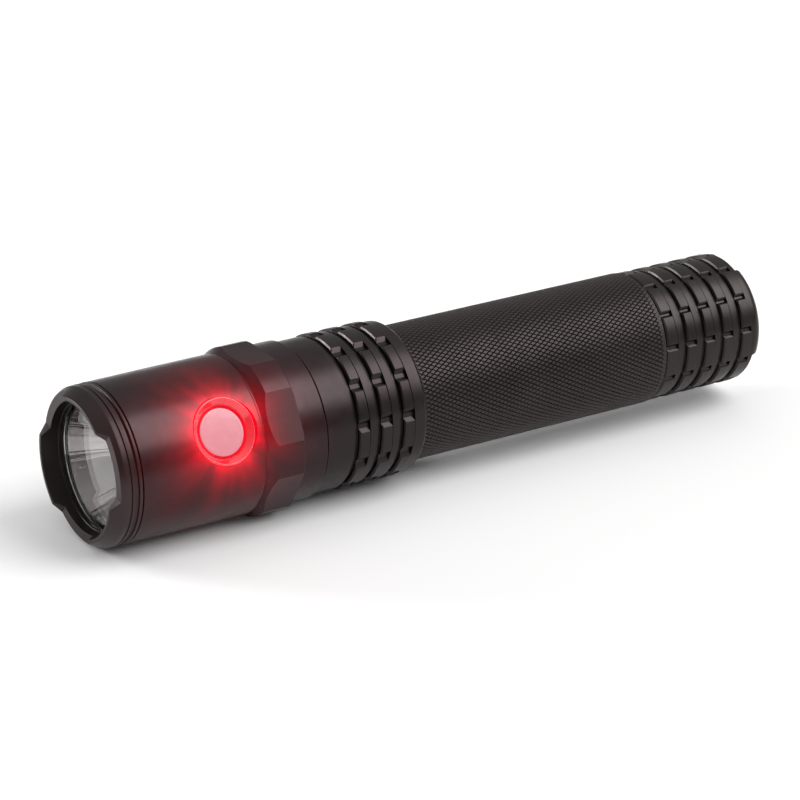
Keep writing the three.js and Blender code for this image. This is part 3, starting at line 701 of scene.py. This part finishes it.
def knurled_sleeve():
    """A closed sleeve covered in diamonds: flat lands between two crossing sets of V grooves."""
    half_rows = 2 * KNURL_PERIODS
    step_s = (TUBE_END - KNURL_FRONT) / half_rows
    step_a = 360 / KNURL_STARTS
    valley = KNURL_R - KNURL_DEPTH
    i, j = np.meshgrid(np.arange(half_rows + 1), np.arange(KNURL_STARTS), indexing="ij")
    lattice = at(KNURL_FRONT + i * step_s, valley, (j + 0.5 * (i % 2)) * step_a).reshape(-1, 3)
    lands, faces = [], []
    start = len(lattice)

    def corner(row, column):
        return row * KNURL_STARTS + column % KNURL_STARTS

    for row in range(1, half_rows):
        shift = row % 2
        for column in range(KNURL_STARTS):
            # The diamond between two neighbouring lattice points of one row.
            middle = (column + 0.5 + 0.5 * shift) * step_a
            s = KNURL_FRONT + row * step_s
            reach = KNURL_LAND * step_s
            spread = KNURL_LAND * step_a / 2
            lands += [(s - reach, middle), (s, middle + spread), (s + reach, middle), (s, middle - spread)]
            front = corner(row - 1, column + shift)
            back = corner(row + 1, column + shift)
            around = [front, corner(row, column + 1), back, corner(row, column)]
            first = start + len(lands) - 4
            faces.append([first, first + 1, first + 2, first + 3])
            for k in range(4):
                m = (k + 1) % 4
                faces.append([first + k, around[k], around[m], first + m])
    for row, inward in ((0, 1), (half_rows, -1)):
        shift = row % 2
        for column in range(KNURL_STARTS):
            tip = corner(row + inward, column + shift)
            faces.append([corner(row, column), corner(row, column + 1), tip])
    lands = np.array(lands)
    crest = at(lands[:, 0], KNURL_R, lands[:, 1])
    inner_angles = np.arange(KNURL_STARTS) * step_a
    inner_front = at(np.full(KNURL_STARTS, KNURL_FRONT), SLEEVE_INNER_R, inner_angles)
    inner_back = at(np.full(KNURL_STARTS, TUBE_END), SLEEVE_INNER_R, inner_angles)
    count = start + len(crest)
    for k in range(KNURL_STARTS):
        m = (k + 1) % KNURL_STARTS
        front, back = count, count + KNURL_STARTS
        faces.append([corner(0, k), corner(0, m), front + m, front + k])
        faces.append([corner(half_rows, k), back + k, back + m, corner(half_rows, m)])
        faces.append([front + k, front + m, back + m, back + k])
    return np.concatenate([lattice, crest, inner_front, inner_back]), faces


def threaded_neck():
    """The tube's rear neck, with a screw thread that starts behind its O-ring groove."""
    plain = [(133.0, BORE_R), (133.0, THREAD_R - 0.6)]
    start, end = 133.3, NECK_END - 0.4
    rows = 60
    for i in range(rows + 1):
        plain.append((start + (end - start) * i / rows, THREAD_R))
    plain += [(NECK_END, THREAD_R - 0.7), (NECK_END, BORE_R)]

    def shape(s, r, a):
        turn = ((s - start) / THREAD_PITCH - a / 360) % 1
        depth = 0.6 * np.clip(1.6 * np.abs(2 * turn - 1) - 0.3, 0, 1)
        fade = ramp(s, start, start + 0.6) * (1 - ramp(s, end - 0.5, end))
        cut = np.where((s >= start - 1e-6) & (s <= end + 1e-6) & (r > 12), depth * fade, 0)
        return s, r - cut, a
    return spun(plain, columns([0], 3), shape)


def make_tube():
    neck_front, neck_r = 42.1, 12.7
    seal_front, seal_rear, seal_floor_r = 44.7, 46.5, 11.7
    front = rounded([
        (neck_front, BORE_R), (neck_front, neck_r), (seal_front, neck_r), (seal_front, seal_floor_r),
        (seal_rear, seal_floor_r), (seal_rear, neck_r), (JOINT + 0.3, neck_r),
        (JOINT + 0.3, RING_R), (FRONT_RINGS["start"], RING_R),
        *groove_first(FRONT_RINGS), (FLANGE_END - 0.6, 15.3), (FLANGE_END - 0.1, 14.95),
        (FLANGE_END, 14.6), (FLANGE_END + 0.15, 13.3), (FLANGE_END + 0.9, 13.2), (FLANGE_END + 0.9, BORE_R),
    ], RIDGE_EDGE)
    first = FRONT_RINGS["start"] + FRONT_RINGS["groove"]
    front_part = spun(front, slot_columns(FRONT_RINGS), slotted(FRONT_RINGS, first))
    core = rounded([
        (FLANGE_END + 0.5, BORE_R), (FLANGE_END + 0.5, 13.05), (TUBE_END + 0.02, 13.05),
        (TUBE_END + 0.02, THREAD_R), (131.6, THREAD_R), (131.6, 11.25), (133.05, 11.25), (133.05, BORE_R),
    ], 0.08)
    core_part = spun(core, columns([0], 2))
    parts = joined(front_part, core_part, knurled_sleeve(), threaded_neck())
    tube = make_object("tube", *parts)
    dress(tube, "torch_body", ANODISED, "anodised_tube", "body_tube")
    tube.data.materials.append(KNURLED)
    low, high = FRONT_X + KNURL_FRONT * MM, FRONT_X + (TUBE_END + 0.01) * MM
    for face in tube.data.polygons:
        c = face.center
        if low < c.x < high and math.hypot(c.y, c.z - AXIS_Z) > (KNURL_R - KNURL_DEPTH - 0.1) * MM:
            face.material_index = 1
    return tube


# ---- Tail cap -------------------------------------------------------------------------------------------
def tail_shape(s, r, a):
    """Mills the slots across the ridges and the notches out of the rim."""
    s, r, a = slotted(TAIL_RINGS, TAIL_RINGS["start"])(s, r, a)
    off = np.abs(nearest(a, RIM_NOTCHES, RIM_NOTCH_DEG))
    cut = RIM_NOTCH_DEPTH * (1 - ramp(off, RIM_NOTCH_HALF_DEG, RIM_NOTCH_HALF_DEG + 1))
    limit = TAIL_END - cut
    squeezed = limit - 0.02 * (TAIL_END - s)
    return np.where((s > limit) & (r > 8.5), squeezed, s), r, a


def make_tail_cap():
    rim_r, corner_r = 13.4, 2.2
    corner = []
    for i in range(9):
        a = math.radians(i * 90 / 8)
        along = TAIL_END - corner_r + corner_r * math.sin(a)
        corner.append((along, rim_r - corner_r + corner_r * math.cos(a)))
    outline = rounded([
        *ridge_first(TAIL_RINGS), (152.2, 13.35), *corner, (TAIL_END, 9.3),
        (TAIL_END - 0.3, 9), (151.2, 9), (151.2, 7.3), (149.2, 7.3), (149.2, 12.15), (TAIL_FRONT, 12.15),
    ], RIDGE_EDGE)
    edges = [side * (RIM_NOTCH_HALF_DEG + o) for side in (-1, 1) for o in (0, 0.5, 1)]
    angles = slot_columns(TAIL_RINGS, repeated(RIM_NOTCHES, RIM_NOTCH_DEG, edges))
    cap = make_object("tail_cap_shell", *spun(outline, angles, tail_shape))
    return dress(cap, "tail_cap", ANODISED_TAIL, "anodised_tail", "tail_cap")


def make_tail_boot():
    skin = 1.1
    boot_r, top = 6.9, 153.6
    dome = [(top - 1.2 * (1 - math.sin(a)), boot_r - 1.3 * (1 - math.cos(a)))
            for a in (math.radians(d) for d in range(0, 91, 15))]
    outline = [
        (147.7, boot_r - skin), (147.7, 11.7), (148.9, 11.7), (148.9, boot_r),
        *[(148.9 + (top - 1.2 - 148.9) * i / 6, boot_r) for i in range(1, 6)],
        *dome, (top - 0.1, 4.2), (top - 0.18, 2.5), (top - 0.2, 0), (top - 1.1, 0),
        (top - 1.1, boot_r - skin - 0.3), (top - 1.5, boot_r - skin),
    ]
    points, faces = spun(rounded(outline, 0.1), columns([0], 3.75))
    boot = make_object("tail_boot_skin", points, faces, crease=50)
    boot.data.materials.append(BOOT_RUBBER)
    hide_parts("tail_boot")
    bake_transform(boot)
    return boot


# ---- Optics ---------------------------------------------------------------------------------------------
def make_lens():
    front, rear, r, edge = 5.6, 7.0, 13.3, 0.3
    outline = rounded([
        (front, 0), (front, r - edge), (front + edge, r), (rear - 0.15, r), (rear, r - 0.15), (rear, 0),
    ], 0.1)
    lens = make_object("lens", *spun(outline, columns([0], 2.5)))
    return dress(lens, "torch_body", GLASS, "lens_glass", "front_lens")


def make_reflector():
    vertex, mouth, mouth_r, rear, wall = 20.2, 7.2, 12.3, 19.2, 0.9
    focal = mouth_r ** 2 / (4 * (vertex - mouth))
    stations = [mouth + (rear - mouth) * i / 40 for i in range(41)]
    bowl = [(s, math.sqrt(4 * focal * (vertex - s))) for s in stations]
    back = [(s, r + wall) for s, r in reversed(bowl[4:])]
    outline = bowl + back + [(mouth + wall + 0.2, 13.0), (mouth + wall, 13.3), (mouth, 13.3)]
    reflector = make_object("reflector_bowl", *spun(outline, columns([0], 2)))
    return dress(reflector, "torch_body", MIRROR, "mirror_coat", "reflector")


def make_led():
    """A white package with the phosphor square under a clear dome."""
    top, base, half, edge, chip_half, dome_r = 19.5, 20.4, 2.4, 0.12, 1.4, 2.1
    body = box_mesh((top, base), (-half, half), (-half, half))
    led = make_object("led_package", *body)
    modifier = led.modifiers.new("edges", "BEVEL")
    modifier.width = edge * MM
    modifier.segments = 2
    dress(led, "torch_body", WHITE_PLASTIC, "white_plastic", "led_emitter")
    chip_body = box_mesh((top - 0.08, top + 0.1), (-chip_half, chip_half), (-chip_half, chip_half))
    chip = make_object("led_chip", *chip_body)
    dress(chip, "torch_body", PHOSPHOR, "led_phosphor")
    dome = [(top + 0.05, 0), (top + 0.05, dome_r)]
    for i in range(9):
        a = math.radians(90 - i * 11.25)
        dome.append((top - 0.15 - dome_r * 0.75 * math.cos(a), dome_r * math.sin(a)))
    cover = make_object("led_dome", *spun(dome, columns([0], 10)))
    dress(cover, "torch_body", GLASS, "lens_glass")


def box_mesh(xs, ys, zs):
    """A box from low and high stations along the torch and offsets from its axis, in millimetres."""
    points = []
    for x in xs:
        for y in ys:
            for z in zs:
                points.append((FRONT_X + x * MM, y * MM, AXIS_Z + z * MM))
    faces = [[0, 1, 3, 2], [4, 6, 7, 5], [0, 4, 5, 1], [2, 3, 7, 6], [0, 2, 6, 4], [1, 5, 7, 3]]
    return np.array(points), faces


# ---- Springs, battery and seals ---------------------------------------------------------------------------
def coil(name, s0, s1, r0, r1, turns, wire_r):
    """A conical coil spring, its last half turn at each end closed up flat."""
    steps_a_turn, sides = 40, 10
    steps = int(turns * steps_a_turn)
    centres = []
    for i in range(steps + 1):
        t = i / steps
        rise = np.clip((t * turns - 0.5) / (turns - 1), 0, 1)
        r = r0 + (r1 - r0) * t
        a = 2 * math.pi * turns * t
        x = FRONT_X + (s0 + wire_r + (s1 - s0 - 2 * wire_r) * rise) * MM
        centres.append(Vector((x, r * MM * math.cos(a), AXIS_Z + r * MM * math.sin(a))))
    points = []
    for i, centre in enumerate(centres):
        ahead = centres[min(i + 1, steps)] - centres[max(i - 1, 0)]
        out = Vector((0, centre.y, centre.z - AXIS_Z)).normalized()
        side = ahead.normalized().cross(out).normalized()
        for k in range(sides):
            a = 2 * math.pi * k / sides
            points.append(centre + (out * math.cos(a) + side * math.sin(a)) * wire_r * MM)
    faces = grid_faces(steps + 1, sides, closed=False)
    faces.append(list(range(sides)))
    faces.append(list(range(steps * sides, (steps + 1) * sides)))
    return make_object(name, points, faces)


def make_springs():
    front = coil("driver_contact_spring", s0=39.2, s1=51.05, r0=4.4, r1=2.4, turns=5, wire_r=0.4)
    front.data.materials.append(STEEL)
    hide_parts("driver_spring")
    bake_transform(front)
    rear = coil("tail_contact_spring", s0=127.1, s1=140, r0=3, r1=4.8, turns=5, wire_r=0.45)
    dress(rear, "tail_cap", STEEL, "spring_steel", "tail_spring")


def make_seal(name, s, centre_r, section_r, node_name):
    sides = 16
    outline = []
    for i in range(sides):
        a = 2 * math.pi * i / sides
        outline.append((s + section_r * math.cos(a), centre_r + section_r * math.sin(a)))
    seal = make_object(name, *spun(outline, columns([0], 2.5)))
    dress(seal, "torch_body", SEAL_RUBBER, "seal_rubber", node_name)


def make_gasket():
    outline = rounded([(5.12, 12.7), (5.12, 13.3), (5.48, 13.3), (5.48, 12.7)], 0.08)
    gasket = make_object("lens_seal", *spun(outline, columns([0], 2.5)))
    dress(gasket, "torch_body", SEAL_RUBBER, "seal_rubber", "lens_gasket")


def make_battery():
    can = rounded([
        (51.2, 0), (51.2, 3.2), (51.5, 3.4), (52.9, 3.4), (52.9, 10.2), (126.8, 10.2), (126.8, 0),
    ], 0.2)
    cell = make_object("cell_can", *spun(can, columns([0], 4)))
    dress(cell, "battery", CAN_STEEL, "can_steel", "battery_cell")
    wrap = rounded([(52.4, 10.25), (52.4, 10.55), (126.7, 10.55), (126.7, 10.25)], 0.1)
    sleeve = make_object("cell_sleeve", *spun(wrap, columns([0], 4)))
    dress(sleeve, "battery", SLEEVE, "sleeve_plastic", "battery_sleeve")


# ---- CAD nodes that keep their shape ---------------------------------------------------------------------
KEPT = {
    "led_centring_ring": (WHITE_PLASTIC, "white_plastic"),
    "led_board": (BOARD, "circuit_board"),
    "heat_sink_pill": (BARE_ALUMINIUM, "bare_aluminium"),
    "led_lead_positive": (RED_WIRE, "red_wire"),
    "led_lead_negative": (BLACK_WIRE, "black_wire"),
    "driver_board": (BOARD, "circuit_board"),
    "driver_inductor": (BLACK_PLASTIC, "black_plastic"),
    "driver_controller": (BLACK_PLASTIC, "black_plastic"),
    "driver_retaining_ring": (BRASS, "brass_ring"),
    "side_button_gasket": (SEAL_RUBBER, "seal_rubber"),
    "tact_switch_body": (BLACK_PLASTIC, "black_plastic"),
    "tact_switch_plunger": (WHITE_PLASTIC, "white_plastic"),
    "switch_board": (BOARD, "circuit_board"),
    "indicator_led_left": (INDICATOR, "indicator_red"),
    "indicator_led_right": (INDICATOR, "indicator_red"),
    "switch_board_screw_left": (STEEL, "spring_steel"),
    "switch_board_screw_right": (STEEL, "spring_steel"),
    "battery_insulator": (WHITE_PLASTIC, "white_plastic"),
    "tail_retaining_ring": (BRASS, "brass_ring"),
    "tail_switch_board": (BOARD, "circuit_board"),
    "tail_switch_body": (BLACK_PLASTIC, "black_plastic"),
    "tail_switch_plunger": (WHITE_PLASTIC, "white_plastic"),
    "tail_switch_washer": (BLACK_PLASTIC, "black_plastic"),
}


def dress_kept_nodes():
    for name, (material, slot_name) in KEPT.items():
        obj = nodes[name]
        for i in range(len(obj.material_slots)):
            obj.material_slots[i].material = material


# ---- Stage ---------------------------------------------------------------------------------------------
# How bright the studio is at each height: 0 at the horizon, 1 overhead.
SKY = ((0, 0.31), (0.35, 0.46), (0.64, 0.63), (1, 0.43))


def make_camera():
    target = Vector((-0.00435, -0.0007, 0.0147))
    distance = 0.7201
    azimuth, elevation, roll = (math.radians(d) for d in (-33.54, 23.9, 1.49))
    back = Vector((
        math.sin(azimuth) * math.cos(elevation),
        -math.cos(azimuth) * math.cos(elevation),
        math.sin(elevation),
    ))
    data = bpy.data.cameras.new("camera")
    data.lens = 162.85
    data.sensor_width = 36
    data.clip_start = 0.01
    camera = bpy.data.objects.new("camera", data)
    level = back.to_track_quat("Z", "Y").to_matrix()
    turned = level @ Matrix.Rotation(roll, 3, "Z")
    camera.matrix_world = Matrix.Translation(target + back * distance) @ turned.to_4x4()
    bpy.context.scene.collection.objects.link(camera)
    bpy.context.scene.camera = camera


def make_floor():
    size = 6.0
    points = [(-size, -size, 0), (size, -size, 0), (size, size, 0), (-size, size, 0)]
    floor = make_object("floor", points, [[0, 1, 2, 3]])
    material, shader = new_material("floor_paper", Roughness=0.9)
    shader.inputs["Specular IOR Level"].default_value = 0.1
    colour = between(material, noise(material, 3, 2), (0.93, 0.93, 0.93), (0.95, 0.95, 0.95))
    link(material, colour, shader.inputs["Base Color"])
    floor.data.materials.append(material)


def softbox(name, around, distance, along, width, length, power):
    """A soft area light that faces the torch: around is its angle from -Y towards +Z."""
    data = bpy.data.lights.new(name, "AREA")
    data.shape = "RECTANGLE"
    data.size, data.size_y = length, width
    data.energy = power
    light = bpy.data.objects.new(name, data)
    a = math.radians(around)
    place = Vector((along, -distance * math.cos(a), AXIS_Z + distance * math.sin(a)))
    facing = (Vector((0, 0, AXIS_Z)) - place).normalized()
    side = Vector((1, 0, 0))
    side = (side - facing * side.dot(facing)).normalized()
    rotation = Matrix((side, (-facing).cross(side), -facing)).transposed()
    light.matrix_world = Matrix.Translation(place) @ rotation.to_4x4()
    bpy.context.scene.collection.objects.link(light)


def make_light():
    world = bpy.data.worlds.new("studio")
    world.use_nodes = True
    background = world.node_tree.nodes["Background"]
    direction = node(world, "ShaderNodeTexCoord").outputs["Generated"]
    parts = node(world, "ShaderNodeSeparateXYZ")
    link(world, direction, parts.inputs["Vector"])
    height = node(world, "ShaderNodeValToRGB")
    link(world, parts.outputs["Z"], height.inputs["Fac"])
    stops = height.color_ramp.elements
    for place, value in SKY:
        stop = stops[0] if place == 0 else stops[1] if place == 1 else stops.new(place)
        stop.color = (value, value * 0.985, value * 0.98, 1)
    link(world, height.outputs["Color"], background.inputs["Color"])
    side = node(world, "ShaderNodeMapRange")
    link(world, parts.outputs["X"], side.inputs["Value"])
    for key, value in (("From Min", -0.7), ("From Max", 0.5), ("To Min", 0.6), ("To Max", 1.0)):
        side.inputs[key].default_value = value
    link(world, side.outputs["Result"], background.inputs["Strength"])
    bpy.context.scene.world = world
    softbox("key", around=58, distance=1.1, along=0.64, width=1.0, length=1.1, power=13)
    softbox("rim", around=158.7, distance=0.85, along=-0.77, width=0.22, length=0.4, power=9)
    bpy.context.scene.view_settings.view_transform = "Standard"


# ---- Build ------------------------------------------------------------------------------------------------
make_camera()
make_floor()
make_light()
make_bezel()
make_head()
make_button()
make_tube()
make_tail_cap()
make_tail_boot()
make_lens()
make_reflector()
make_led()
make_springs()
make_seal("bezel_seal", 7.85, 14.73, 0.38, "bezel_o_ring")
make_seal("head_seal", 45.6, 12.45, 0.5, "head_o_ring")
make_seal("tail_seal", 132.3, 11.72, 0.42, "tail_o_ring")
make_gasket()
make_battery()
dress_kept_nodes()
